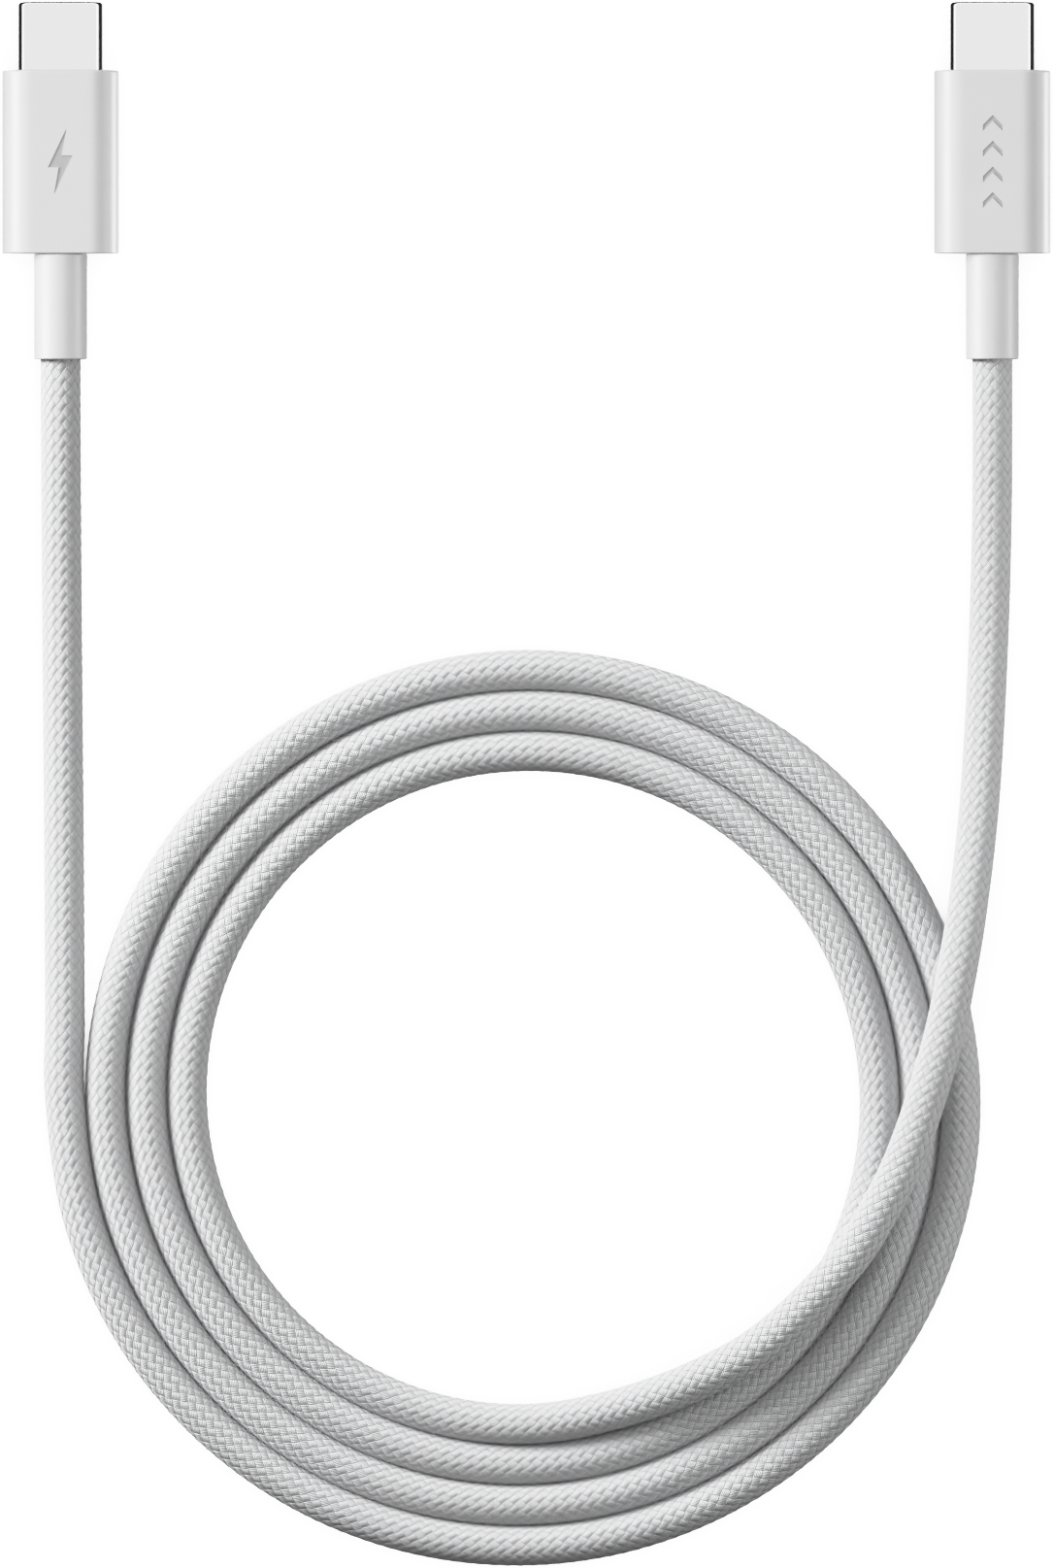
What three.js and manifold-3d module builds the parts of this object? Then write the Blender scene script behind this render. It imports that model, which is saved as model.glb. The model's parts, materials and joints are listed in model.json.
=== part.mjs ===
// A charging cable with a USB-C plug on each end, lying flat in a round coil of three turns and a bit.
// Millimetres, +Z up. The two plugs lie side by side, their tips pointing along +Y, and the floor is z = 0.
// The origin is on the floor, midway between the plugs. The cord leaves plug A on the left, winds inwards
// anticlockwise, climbs over its own turns and comes back to plug B on the right.
import * as THREE from "three";
import { mergeVertices } from "three/addons/utils/BufferGeometryUtils.js";
import Module from "manifold-3d";

const wasm = await Module();
wasm.setup();

// ---- Driving dimensions ----

const PLUG_SPACING = 90.8; // between the two plugs' centre lines

const SHELL_WIDTH = 8.25; // the standard plug's outer shell
const SHELL_HEIGHT = 2.4;
const SHELL_WALL = 0.25;
const SHELL_EXPOSED = 6.65; // the length that goes into a device
const SHELL_BURIED = 4.15;

const HOUSING_WIDTH = 11.4;
const HOUSING_HEIGHT = 5.7;
const HOUSING_LENGTH = 17.85;
const HOUSING_WALL = 0.7;
const HOUSING_FRONT_WALL = 2.65;
const HOUSING_REAR_WALL = 1.0;
const HOUSING_EDGE = 0.2; // bevel round both end faces

const RELIEF_DIAMETER = 5.2;
const RELIEF_LENGTH = 10.3;
const RELIEF_NECK_RADIUS = 1.85;
const RELIEF_FLANGE_RADIUS = 2.1;

const CORD_DIAMETER = 3.9;
const JACKET_RADIUS = 1.5; // the inner jacket, once the braid is cut back

const COIL_CENTRE = new THREE.Vector2(-0.34, -89.32);
const COIL_RADIUS = 44.66; // centre line of the outermost turn, where it starts
const COIL_PITCH = 3.97; // from one turn to the next
const COIL_TURNS = 3;
const COIL_EXTRA = THREE.MathUtils.degToRad(60); // wound past the last whole turn, before the cord lifts
const COIL_HEIGHT = 3.6; // a little under one cord diameter, so the cord passes over it clear

const CONTACTS = 12; // in each row
const CONTACT_PITCH = 0.5;
const CONTACT_WIDTH = 0.25;
const CONTACT_THICKNESS = 0.12;

const CARD_THICKNESS = 0.6;
const FIT = 0.05; // play between a piece and the one it sits in
const JOINT_GAP = 0.3; // between the cord's own stretches, and where it meets a plug

// The cord's centre line from plug A down to the coil.
const LEAD_ROUTE = [
  [-45.4, -17.7, 2.85],
  [-45.4, -21.5, 2.83],
  [-45.37, -27, 2.6],
  [-45.34, -33, 2.22],
  [-45.3, -40, 1.97],
  [-45.22, -49, 1.95],
  [-45.15, -57, 1.95],
  [-45.08, -65, 1.95],
  [-45.03, -74, 1.95],
  [-45.0, -82, 1.95],
];

// The cord's centre line from the end of the coil, over the other turns and up to plug B.
const TAIL_ROUTE = [
  [-8.6, -120.15, 2.12],
  [-0.34, -121.1, 2.6],
  [7.85, -119.85, 3.4],
  [16.1, -117.0, 4.7],
  [23.4, -112.9, 5.65],
  [30.4, -106.1, 5.85],
  [34.2, -100.5, 5.85],
  [37.3, -94.0, 5.85],
  [40.3, -84.6, 5.85],
  [41.9, -77.1, 5.75],
  [43.0, -70.4, 5.15],
  [44.0, -61.9, 4.05],
  [44.6, -53.5, 2.95],
  [45.0, -45.5, 2.2],
  [45.25, -38, 1.97],
  [45.38, -31, 2.2],
  [45.4, -26, 2.62],
  [45.4, -21.5, 2.83],
  [45.4, -17.7, 2.85],
];

// ---- Places worked out from them, on a plug whose centre line is the Y axis ----

const PLUG_LENGTH = SHELL_EXPOSED + HOUSING_LENGTH + RELIEF_LENGTH;
const TIP_Y = PLUG_LENGTH / 2;
const HOUSING_FRONT_Y = TIP_Y - SHELL_EXPOSED;
const HOUSING_REAR_Y = HOUSING_FRONT_Y - HOUSING_LENGTH;
const RELIEF_END_Y = -PLUG_LENGTH / 2;
const SHELL_REAR_Y = HOUSING_FRONT_Y - SHELL_BURIED;
const CAVITY_FRONT_Y = HOUSING_FRONT_Y - HOUSING_FRONT_WALL;
const CAVITY_REAR_Y = HOUSING_REAR_Y + HOUSING_REAR_WALL;
const CAVITY_WIDTH = HOUSING_WIDTH - 2 * HOUSING_WALL;
const CAVITY_HEIGHT = HOUSING_HEIGHT - 2 * HOUSING_WALL;
const AXIS_Z = HOUSING_HEIGHT / 2;

const INSULATOR_FRONT_Y = TIP_Y - 0.3;
const INSULATOR_REAR_Y = 10.05;
const INSULATOR_HEIGHT = 1.54;
const INSULATOR_WIDTH = SHELL_WIDTH - 2 * SHELL_WALL - 3 * FIT;
const MOUTH_WIDTH = 6.8;
const MOUTH_HEIGHT = 0.96;

const CARD_FRONT_Y = SHELL_REAR_Y + 0.3;
const CARD_REAR_Y = -0.6;
const CARD_WIDTH = 7.4;
const CARD_TOP = CARD_THICKNESS / 2;
const SOLDER = 0.02; // the thickness of solder under a part on the card

const SHIELD_WALL = 0.2;
const SHIELD_WIDTH = SHELL_WIDTH + 0.15 + 2 * SHIELD_WALL;
const SHIELD_HEIGHT = SHELL_HEIGHT + 0.1 + 2 * SHIELD_WALL;
const SHIELD_FRONT_Y = CAVITY_FRONT_Y - 0.2;
const SHIELD_REAR_Y = -2.1;

const FERRULE_WALL = 0.25;
const FERRULE_FRONT_Y = -3.6;
const FERRULE_REAR_Y = -5.5;
const JACKET_FRONT_Y = -3.3;
const WIRE_REAR_Y = JACKET_FRONT_Y + 0.15;
const WIRE_END_Y = 0.9; // on the pads at the back of the card

// ---- Materials ----

const finish = (color, roughness, metalness = 0) =>
  new THREE.MeshStandardMaterial({ color, roughness, metalness });

const MATERIALS = {
  housing: finish(0xf1f1f0, 0.38),
  relief: finish(0xeeeeee, 0.5),
  shell: finish(0xd9dadc, 0.22, 1),
  insulator: finish(0x1b1c1e, 0.5),
  gold: finish(0xd8b25a, 0.25, 1),
  spring: finish(0xc2c4c8, 0.3, 1),
  card: finish(0x1f5a3c, 0.5),
  chip: finish(0x18191b, 0.45),
  ceramic: finish(0xb89a78, 0.5),
  mould: finish(0xe2e0da, 0.6),
  ferrule: finish(0xb9b6ad, 0.35, 1),
  jacket: finish(0xdadada, 0.6),
  red: finish(0xb3261e, 0.45),
  black: finish(0x1d1d1f, 0.45),
  blue: finish(0x2a55a8, 0.45),
  green: finish(0x2f7d43, 0.45),
  white: finish(0xe9e9e6, 0.45),
  cord: finish(0xdcdddf, 0.75),
};

// ---- Booleans ----

// A closed geometry as a solid, with only its positions kept and its shared vertices merged.
function solidOf(geometry) {
  const plain = new THREE.BufferGeometry();
  plain.setAttribute("position", geometry.getAttribute("position"));
  if (geometry.index) plain.setIndex(geometry.index);
  const merged = mergeVertices(plain, 1e-4);
  return new wasm.Manifold(
    new wasm.Mesh({
      numProp: 3,
      vertProperties: merged.attributes.position.array,
      triVerts: new Uint32Array(merged.index.array),
    }),
  );
}

function geometryOf(solid) {
  const mesh = solid.getMesh();
  const geometry = new THREE.BufferGeometry();
  geometry.setAttribute("position", new THREE.BufferAttribute(mesh.vertProperties, 3));
  geometry.setIndex(new THREE.BufferAttribute(mesh.triVerts, 1));
  return geometry;
}

const join = (geometries) => geometryOf(geometries.map(solidOf).reduce((all, next) => all.add(next)));

const cut = (geometry, tools) =>
  geometryOf(tools.map(solidOf).reduce((all, next) => all.subtract(next), solidOf(geometry)));

// ---- Outlines and prisms ----

const ARC_STEPS = 8; // segments in each round end

// The points of a quarter, half or whole circle, from one angle to another.
function arc(x, y, radius, from, to, steps) {
  return Array.from({ length: steps + 1 }, (_, i) => {
    const angle = from + ((to - from) * i) / steps;
    return new THREE.Vector2(x + radius * Math.cos(angle), y + radius * Math.sin(angle));
  });
}

// A slot shape: straight above and below, with fully round ends.
function stadiumPoints(width, height) {
  const radius = height / 2;
  const straight = width / 2 - radius;
  return [
    ...arc(straight, 0, radius, -Math.PI / 2, Math.PI / 2, ARC_STEPS),
    ...arc(-straight, 0, radius, Math.PI / 2, (3 * Math.PI) / 2, ARC_STEPS),
  ];
}

const rectanglePoints = (width, height) =>
  [
    [-1, -1],
    [1, -1],
    [1, 1],
    [-1, 1],
  ].map(([x, y]) => new THREE.Vector2((x * width) / 2, (y * height) / 2));

function shapeOf(points, hole) {
  const shape = new THREE.Shape(points);
  if (hole) shape.holes.push(new THREE.Path(hole));
  return shape;
}

// A cross-section, drawn with x across and y up, pushed along the plug from its rear to its front.
function alongY(shape, rear, front, edge = 0) {
  const geometry = new THREE.ExtrudeGeometry(shape, {
    depth: front - rear - 2 * edge,
    bevelEnabled: edge > 0,
    bevelThickness: edge,
    bevelSize: edge,
    bevelOffset: -edge,
    bevelSegments: 2,
  });
  return geometry.rotateX(Math.PI / 2).translate(0, front - edge, 0);
}

// An outline seen from above, given a thickness.
function plate(points, bottom, thickness) {
  const geometry = new THREE.ExtrudeGeometry(shapeOf(points), { depth: thickness, bevelEnabled: false });
  return geometry.translate(0, 0, bottom);
}

const block = (width, rear, front, bottom, top, x = 0) =>
  new THREE.BoxGeometry(width, front - rear, top - bottom).translate(x, (front + rear) / 2, (top + bottom) / 2);

// A round bar along the plug.
const rod = (radius, rear, front, sides = 16) =>
  new THREE.CylinderGeometry(radius, radius, front - rear, sides).translate(0, (front + rear) / 2, 0);

// A round tube along a list of points.
function tubeAlong(points, radius, sides, steps) {
  const curve = new THREE.CatmullRomCurve3(points, false, "centripetal");
  const section = new THREE.Shape(arc(0, 0, radius, 0, 2 * Math.PI, sides).slice(0, sides));
  return new THREE.ExtrudeGeometry(section, { extrudePath: curve, steps });
}

// ---- The plug, front to back ----

// The drawn metal shell, open at both ends.
const shellTube = () =>
  alongY(
    shapeOf(
      stadiumPoints(SHELL_WIDTH, SHELL_HEIGHT),
      stadiumPoints(SHELL_WIDTH - 2 * SHELL_WALL, SHELL_HEIGHT - 2 * SHELL_WALL),
    ),
    SHELL_REAR_Y,
    TIP_Y,
  );

// The moulded front insulator, whose slot takes a device's tongue.
const frontInsulator = () =>
  alongY(
    shapeOf(stadiumPoints(INSULATOR_WIDTH, INSULATOR_HEIGHT), rectanglePoints(MOUTH_WIDTH, MOUTH_HEIGHT)),
    INSULATOR_REAR_Y,
    INSULATOR_FRONT_Y,
  );

// One spring contact seen from the side: a tail soldered to the card, a beam, and a bowed tip.
function contactBeam() {
  const bottom = CARD_TOP + SOLDER;
  const centreLine = [
    [6.1, bottom],
    [14.0, bottom],
    [15.2, bottom - 0.1],
    [16.2, bottom + 0.02],
  ];
  const under = centreLine.map(([y, z]) => new THREE.Vector2(y, z));
  const over = centreLine.map(([y, z]) => new THREE.Vector2(y, z + CONTACT_THICKNESS)).reverse();
  const geometry = new THREE.ExtrudeGeometry(shapeOf([...under, ...over]), {
    depth: CONTACT_WIDTH,
    bevelEnabled: false,
  });
  const standUp = new THREE.Matrix4().makeBasis(
    new THREE.Vector3(0, 1, 0),
    new THREE.Vector3(0, 0, 1),
    new THREE.Vector3(1, 0, 0),
  );
  return geometry.applyMatrix4(standUp).translate(-CONTACT_WIDTH / 2, 0, 0);
}

// A row of contacts held in its moulded bar.
function contactRow() {
  const first = (-(CONTACTS - 1) * CONTACT_PITCH) / 2;
  const beams = Array.from({ length: CONTACTS }, (_, i) =>
    contactBeam().translate(first + i * CONTACT_PITCH, 0, 0),
  );
  return join([block(6.5, 8.0, 9.9, 0.16, 0.76), ...beams]);
}

// The mid plate between the rows, with a sprung latch arm down each side of the mouth.
function latchPlate() {
  const right = [
    [3.25, 7.4],
    [3.25, 15.6],
    [3.05, 15.9],
    [2.95, 15.4],
    [3.05, 14.9],
    [3.05, 10.2],
  ].map(([x, y]) => new THREE.Vector2(x, y));
  const left = right.map(({ x, y }) => new THREE.Vector2(-x, y)).reverse();
  return plate([...right, ...left], -0.1, 0.2);
}

// The grounding spring between the insulator and the shell, with fingers towards the tip.
function groundSpring() {
  const fingers = 4;
  const fingerPitch = 1.4;
  const halfFinger = 0.45;
  const rootY = 14.0;
  const points = [new THREE.Vector2(-2.6, 12.0), new THREE.Vector2(2.6, 12.0), new THREE.Vector2(2.6, rootY)];
  for (let i = fingers - 1; i >= 0; i--) {
    const x = (i - (fingers - 1) / 2) * fingerPitch;
    for (const [side, y] of [
      [1, rootY],
      [1, 16.2],
      [-1, 16.2],
      [-1, rootY],
    ]) {
      points.push(new THREE.Vector2(x + side * halfFinger, y));
    }
  }
  points.push(new THREE.Vector2(-2.6, rootY));
  return plate(points, 0.8, 0.1);
}

const paddleCard = () => block(CARD_WIDTH, CARD_REAR_Y, CARD_FRONT_Y, -CARD_TOP, CARD_TOP);

const markerChip = () => block(2.0, 2.9, 4.9, CARD_TOP + SOLDER, CARD_TOP + SOLDER + 0.55);

const chipCapacitor = (x) => block(0.5, 3.4, 4.4, -CARD_TOP - SOLDER - 0.5, -CARD_TOP - SOLDER, x);

// One half of the shield can: the upper half of a slot-shaped tube round the card and the shell's tail.
function shieldHalf() {
  const upperHalf = (width, height) => {
    const radius = height / 2;
    const straight = width / 2 - radius;
    return [
      ...arc(straight, 0, radius, 0, Math.PI / 2, ARC_STEPS / 2),
      ...arc(-straight, 0, radius, Math.PI / 2, Math.PI, ARC_STEPS / 2),
    ];
  };
  const outside = upperHalf(SHIELD_WIDTH, SHIELD_HEIGHT);
  const inside = upperHalf(SHIELD_WIDTH - 2 * SHIELD_WALL, SHIELD_HEIGHT - 2 * SHIELD_WALL).reverse();
  return alongY(shapeOf([...outside, ...inside]), SHIELD_REAR_Y, SHIELD_FRONT_Y).translate(0, 0, FIT);
}

// The soft inner mould, which wraps the shield can and grips the cable's end.
function innerMould() {
  const outside = alongY(
    shapeOf(stadiumPoints(CAVITY_WIDTH - 2 * FIT, CAVITY_HEIGHT - 2 * FIT)),
    CAVITY_REAR_Y + 0.35,
    SHIELD_FRONT_Y,
  );
  const canSpace = alongY(
    shapeOf(stadiumPoints(SHIELD_WIDTH + 6 * FIT, SHIELD_HEIGHT + 6 * FIT)),
    SHIELD_REAR_Y - FIT,
    SHIELD_FRONT_Y + 1,
  );
  const cableBore = rod(JACKET_RADIUS + FERRULE_WALL + 2 * FIT, CAVITY_REAR_Y, 0);
  return cut(outside, [canSpace, cableBore]);
}

// The outer housing: a hollow sleeve with a slot for the shell in front and a round hole behind.
function housing() {
  const outside = alongY(
    shapeOf(stadiumPoints(HOUSING_WIDTH, HOUSING_HEIGHT)),
    HOUSING_REAR_Y,
    HOUSING_FRONT_Y,
    HOUSING_EDGE,
  );
  const cavity = alongY(shapeOf(stadiumPoints(CAVITY_WIDTH, CAVITY_HEIGHT)), CAVITY_REAR_Y, CAVITY_FRONT_Y);
  const shellSlot = alongY(
    shapeOf(stadiumPoints(SHELL_WIDTH + 2 * FIT, SHELL_HEIGHT + 2 * FIT)),
    CAVITY_FRONT_Y - 1,
    HOUSING_FRONT_Y + 1,
  );
  const reliefHole = rod(RELIEF_NECK_RADIUS + FIT, HOUSING_REAR_Y - 1, CAVITY_REAR_Y + 1);
  return cut(outside, [cavity, shellSlot, reliefHole]);
}

const crimpFerrule = () =>
  cut(rod(JACKET_RADIUS + FERRULE_WALL + FIT, FERRULE_REAR_Y, FERRULE_FRONT_Y), [
    rod(JACKET_RADIUS + FIT, FERRULE_REAR_Y - 1, FERRULE_FRONT_Y + 1),
  ]);

const jacketEnd = () => rod(JACKET_RADIUS, RELIEF_END_Y + JOINT_GAP, JACKET_FRONT_Y);

// The strain relief: a plain round sleeve, necked through the housing's rear wall, with a flange inside.
function strainRelief() {
  const bore = JACKET_RADIUS + FIT;
  const outer = RELIEF_DIAMETER / 2;
  const rearWall = HOUSING_REAR_Y - FIT;
  const frontWall = CAVITY_REAR_Y + FIT;
  const edge = 0.1;
  const profile = [
    [bore, RELIEF_END_Y],
    [outer - edge, RELIEF_END_Y],
    [outer, RELIEF_END_Y + edge],
    [outer, rearWall],
    [RELIEF_NECK_RADIUS, rearWall],
    [RELIEF_NECK_RADIUS, frontWall],
    [RELIEF_FLANGE_RADIUS, frontWall],
    [RELIEF_FLANGE_RADIUS, frontWall + 0.15],
    [bore, frontWall + 0.15],
    [bore, RELIEF_END_Y],
  ].map(([r, y]) => new THREE.Vector2(r, y));
  return new THREE.LatheGeometry(profile, 24);
}

// The insulated wires, from the jacket's end to the card: where each starts and ends, seen along the plug.
const WIRES = [
  { name: "vbus_wire", material: "red", radius: 0.36, from: [-0.75, 0.45], to: [-2.3, 1] },
  { name: "ground_wire", material: "black", radius: 0.36, from: [0.75, -0.45], to: [2.3, -1] },
  { name: "cc_wire", material: "blue", radius: 0.24, from: [0, 0.95], to: [0, 1] },
  { name: "data_plus_wire", material: "green", radius: 0.24, from: [0.8, 0.5], to: [2.2, 1] },
  { name: "data_minus_wire", material: "white", radius: 0.24, from: [-0.8, -0.5], to: [-2.2, -1] },
];

function wire({ radius, from, to }) {
  const [endX, side] = to;
  const endZ = side * (CARD_TOP + FIT + radius);
  const points = [
    [from[0], WIRE_REAR_Y, from[1]],
    [from[0], WIRE_REAR_Y + 0.5, from[1]],
    [endX, CARD_REAR_Y - 0.3, endZ],
    [endX, WIRE_END_Y, endZ],
  ].map((p) => new THREE.Vector3(...p));
  return tubeAlong(points, radius, 8, 6);
}

// A copy turned half round the plug's axis, for the lower of two like pieces.
const turnedOver = (geometry) => geometry.rotateY(Math.PI);

function plug(prefix, x) {
  const group = new THREE.Group();
  group.position.set(x, 0, AXIS_Z);
  const add = (name, material, geometry) => {
    const mesh = new THREE.Mesh(geometry, MATERIALS[material]);
    mesh.name = prefix + "_" + name;
    group.add(mesh);
  };
  add("metal_shell", "shell", shellTube());
  add("front_insulator", "insulator", frontInsulator());
  add("upper_contacts", "gold", contactRow());
  add("lower_contacts", "gold", turnedOver(contactRow()));
  add("latch_plate", "spring", latchPlate());
  add("upper_ground_spring", "spring", groundSpring());
  add("lower_ground_spring", "spring", turnedOver(groundSpring()));
  add("paddle_card", "card", paddleCard());
  add("marker_chip", "chip", markerChip());
  add("bypass_capacitor", "ceramic", chipCapacitor(-1.1));
  add("pull_down_resistor", "chip", chipCapacitor(1.1));
  add("upper_shield", "spring", shieldHalf());
  add("lower_shield", "spring", turnedOver(shieldHalf()));
  add("inner_mould", "mould", innerMould());
  add("housing", "housing", housing());
  add("crimp_ferrule", "ferrule", crimpFerrule());
  add("jacket_end", "jacket", jacketEnd());
  add("strain_relief", "relief", strainRelief());
  WIRES.forEach((w) => add(w.name, w.material, wire(w)));
  return group;
}

// ---- The cord ----

const coilRadiusAt = (wound) => COIL_RADIUS - (COIL_PITCH * wound) / (2 * Math.PI);

// A point of the coil, at an angle wound from its start on the left, a distance off the cord's centre line.
function coilPoint(wound, off = 0) {
  const angle = Math.PI + wound;
  const radius = coilRadiusAt(wound) + off;
  return new THREE.Vector2(
    COIL_CENTRE.x + radius * Math.cos(angle),
    COIL_CENTRE.y + radius * Math.sin(angle),
  );
}

// The coil's outer shape: the outer side of its first turn and the inner side of its last, each with the
// step where the cord joins or leaves it.
function coilSolid() {
  const half = CORD_DIAMETER / 2;
  const steps = 48;
  const turn = 2 * Math.PI;
  const outside = [];
  for (let i = 0; i <= steps; i++) outside.push(coilPoint((turn * i) / steps, half));
  const stepIndex = Math.round((COIL_EXTRA / turn) * steps);
  const inside = [];
  for (let i = 0; i < steps; i++) {
    const wound = (turn * i) / steps;
    if (i <= stepIndex) inside.push(coilPoint(wound + COIL_TURNS * turn, -half));
    if (i >= stepIndex) inside.push(coilPoint(wound + (COIL_TURNS - 1) * turn, -half));
  }
  const edge = 0.8;
  const geometry = new THREE.ExtrudeGeometry(shapeOf(outside, inside), {
    depth: COIL_HEIGHT - 2 * edge,
    bevelEnabled: true,
    bevelThickness: edge,
    bevelSize: edge,
    bevelOffset: -edge,
    bevelSegments: 2,
  });
  return geometry.translate(0, 0, edge);
}

// A point of the coil's centre line on the floor.
function coilCentre(wound) {
  const { x, y } = coilPoint(wound);
  return new THREE.Vector3(x, y, CORD_DIAMETER / 2);
}

// The last of a route's points, moved back along it by the gap that meeting solids keep.
function stopShort(points) {
  const [before, last] = points.slice(-2);
  const way = last.clone().sub(before).normalize();
  return [...points.slice(0, -1), last.clone().addScaledVector(way, -JOINT_GAP)];
}

function cordTube(name, points, steps) {
  const mesh = new THREE.Mesh(tubeAlong(points, CORD_DIAMETER / 2, 8, steps), MATERIALS.cord);
  mesh.name = name;
  return mesh;
}

function cord() {
  const group = new THREE.Group();
  const lead = [...LEAD_ROUTE.map((p) => new THREE.Vector3(...p)), coilCentre(0)];
  const end = 2 * Math.PI * COIL_TURNS + COIL_EXTRA;
  const tail = [coilCentre(end), ...TAIL_ROUTE.map((p) => new THREE.Vector3(...p))];
  const coil = new THREE.Mesh(coilSolid(), MATERIALS.cord);
  coil.name = "cord_coil";
  group.add(
    cordTube("cord_lead", stopShort(lead), 10),
    coil,
    cordTube("cord_tail", stopShort(tail.reverse()).reverse(), 26),
  );
  return group;
}

const cable = new THREE.Group();
cable.name = "charging_cable";
cable.add(plug("plug_a", -PLUG_SPACING / 2), plug("plug_b", PLUG_SPACING / 2), cord());

export default cable;
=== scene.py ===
"""A white braided charging cable with a USB-C plug on each end, lying in a flat coil, seen from above.

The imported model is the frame. This script gives it its looks: one braided cord from plug to plug, smooth
housings, strain reliefs and metal shells, and a procedural material for every piece. Lengths are in metres.
"""

import json
import math

import bpy
import numpy as np
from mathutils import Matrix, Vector


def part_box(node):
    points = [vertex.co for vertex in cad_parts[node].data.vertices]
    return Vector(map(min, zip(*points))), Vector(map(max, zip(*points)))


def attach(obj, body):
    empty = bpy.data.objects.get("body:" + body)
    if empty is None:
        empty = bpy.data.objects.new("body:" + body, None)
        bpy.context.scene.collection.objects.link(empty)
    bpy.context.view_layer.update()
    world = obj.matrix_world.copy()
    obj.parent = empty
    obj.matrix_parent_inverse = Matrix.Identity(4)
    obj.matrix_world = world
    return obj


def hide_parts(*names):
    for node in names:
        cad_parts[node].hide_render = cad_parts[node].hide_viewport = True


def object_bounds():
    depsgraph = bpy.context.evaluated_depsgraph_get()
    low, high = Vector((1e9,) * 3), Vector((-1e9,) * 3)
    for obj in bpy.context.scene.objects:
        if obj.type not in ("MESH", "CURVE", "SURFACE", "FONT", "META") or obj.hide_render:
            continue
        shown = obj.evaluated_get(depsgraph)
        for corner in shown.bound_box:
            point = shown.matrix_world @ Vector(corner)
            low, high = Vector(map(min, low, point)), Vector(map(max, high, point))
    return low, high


MM = 0.001
TURN = 2 * math.pi

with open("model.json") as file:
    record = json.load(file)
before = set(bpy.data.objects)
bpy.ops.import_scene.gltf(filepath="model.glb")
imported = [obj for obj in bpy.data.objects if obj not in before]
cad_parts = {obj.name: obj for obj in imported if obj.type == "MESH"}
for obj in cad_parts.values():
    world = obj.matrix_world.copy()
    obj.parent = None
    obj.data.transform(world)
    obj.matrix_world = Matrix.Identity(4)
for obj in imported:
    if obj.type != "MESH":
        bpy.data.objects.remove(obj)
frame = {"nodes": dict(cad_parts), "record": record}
cad_low, cad_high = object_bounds()
PLUGS = ("plug_a", "plug_b")


# ---- Camera: straight above, from far away ----

VIEW_LENGTH = 152.78 * MM  # what the picture's long side takes in
VIEW_HEIGHT = 2.0 * MM  # the level at which that holds
LENS = 800.0
SENSOR = 36.0


def add_camera():
    data = bpy.data.cameras.new("camera")
    data.lens = LENS
    data.sensor_width = SENSOR
    data.clip_start = 0.1
    data.clip_end = 10.0
    camera = bpy.data.objects.new("camera", data)
    middle = (cad_low + cad_high) / 2
    camera.location = (middle.x, middle.y, VIEW_HEIGHT + VIEW_LENGTH * LENS / SENSOR)
    bpy.context.scene.collection.objects.link(camera)
    bpy.context.scene.camera = camera


add_camera()


# ---- Meshes from arrays ----


def make_object(name, points, quads, triangles=()):
    """A smooth-shaded mesh object, with its corners in the order of its faces."""
    quads, triangles = np.asarray(quads).reshape(-1, 4), np.asarray(triangles, dtype=int).reshape(-1, 3)
    corners = np.concatenate([quads.ravel(), triangles.ravel()])
    sizes = np.concatenate([np.full(len(quads), 4), np.full(len(triangles), 3)])
    mesh = bpy.data.meshes.new(name)
    mesh.vertices.add(len(points))
    mesh.vertices.foreach_set("co", np.asarray(points, dtype=np.float32).ravel())
    mesh.loops.add(len(corners))
    mesh.loops.foreach_set("vertex_index", corners.astype(np.int32))
    mesh.polygons.add(len(sizes))
    mesh.polygons.foreach_set("loop_start", (np.cumsum(sizes) - sizes).astype(np.int32))
    mesh.update(calc_edges=True)
    mesh.shade_smooth()
    obj = bpy.data.objects.new(name, mesh)
    bpy.context.scene.collection.objects.link(obj)
    return obj


def add_uv(obj, name, values):
    """A named pair of numbers for every face corner; corners past the values' end get zeros."""
    layer = obj.data.uv_layers.new(name=name)
    flat = np.zeros(2 * len(obj.data.loops), dtype=np.float32)
    flat[: values.size] = values.ravel()
    layer.uv.foreach_set("vector", flat)


# ---- The cord's route ----

CORD_DIAMETER = 3.9 * MM
PLUG_DEPTH = 2.3 * MM  # how far the braid goes into the strain relief's mouth

COIL_CENTRE = Vector((-0.34, -89.32)) * MM
COIL_RADIUS = 44.66 * MM
COIL_PITCH = 3.97 * MM
COIL_WOUND = 3 * TURN + math.radians(60)
POINTS_PER_TURN = 24

# From plug A down to the coil, and from the coil over its turns and up to plug B, in millimetres.
LEAD_ROUTE = [
    (-45.4, -17.7, 2.85),
    (-45.4, -21.5, 2.83),
    (-45.37, -27, 2.6),
    (-45.34, -33, 2.22),
    (-45.3, -40, 1.97),
    (-45.22, -49, 1.95),
    (-45.15, -57, 1.95),
    (-45.08, -65, 1.95),
    (-45.03, -74, 1.95),
    (-45.0, -82, 1.95),
]
TAIL_ROUTE = [
    (-8.6, -120.15, 2.12),
    (-0.34, -121.1, 2.6),
    (7.85, -119.85, 3.4),
    (16.1, -117.0, 4.7),
    (23.4, -112.9, 5.65),
    (30.4, -106.1, 5.85),
    (34.2, -100.5, 5.85),
    (37.3, -94.0, 5.85),
    (40.3, -84.6, 5.85),
    (41.9, -77.1, 5.75),
    (43.0, -70.4, 5.15),
    (44.0, -61.9, 4.05),
    (44.6, -53.5, 2.95),
    (45.0, -45.5, 2.2),
    (45.25, -38, 1.97),
    (45.38, -31, 2.2),
    (45.4, -26, 2.62),
    (45.4, -21.5, 2.83),
    (45.4, -17.7, 2.85),
]


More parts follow.
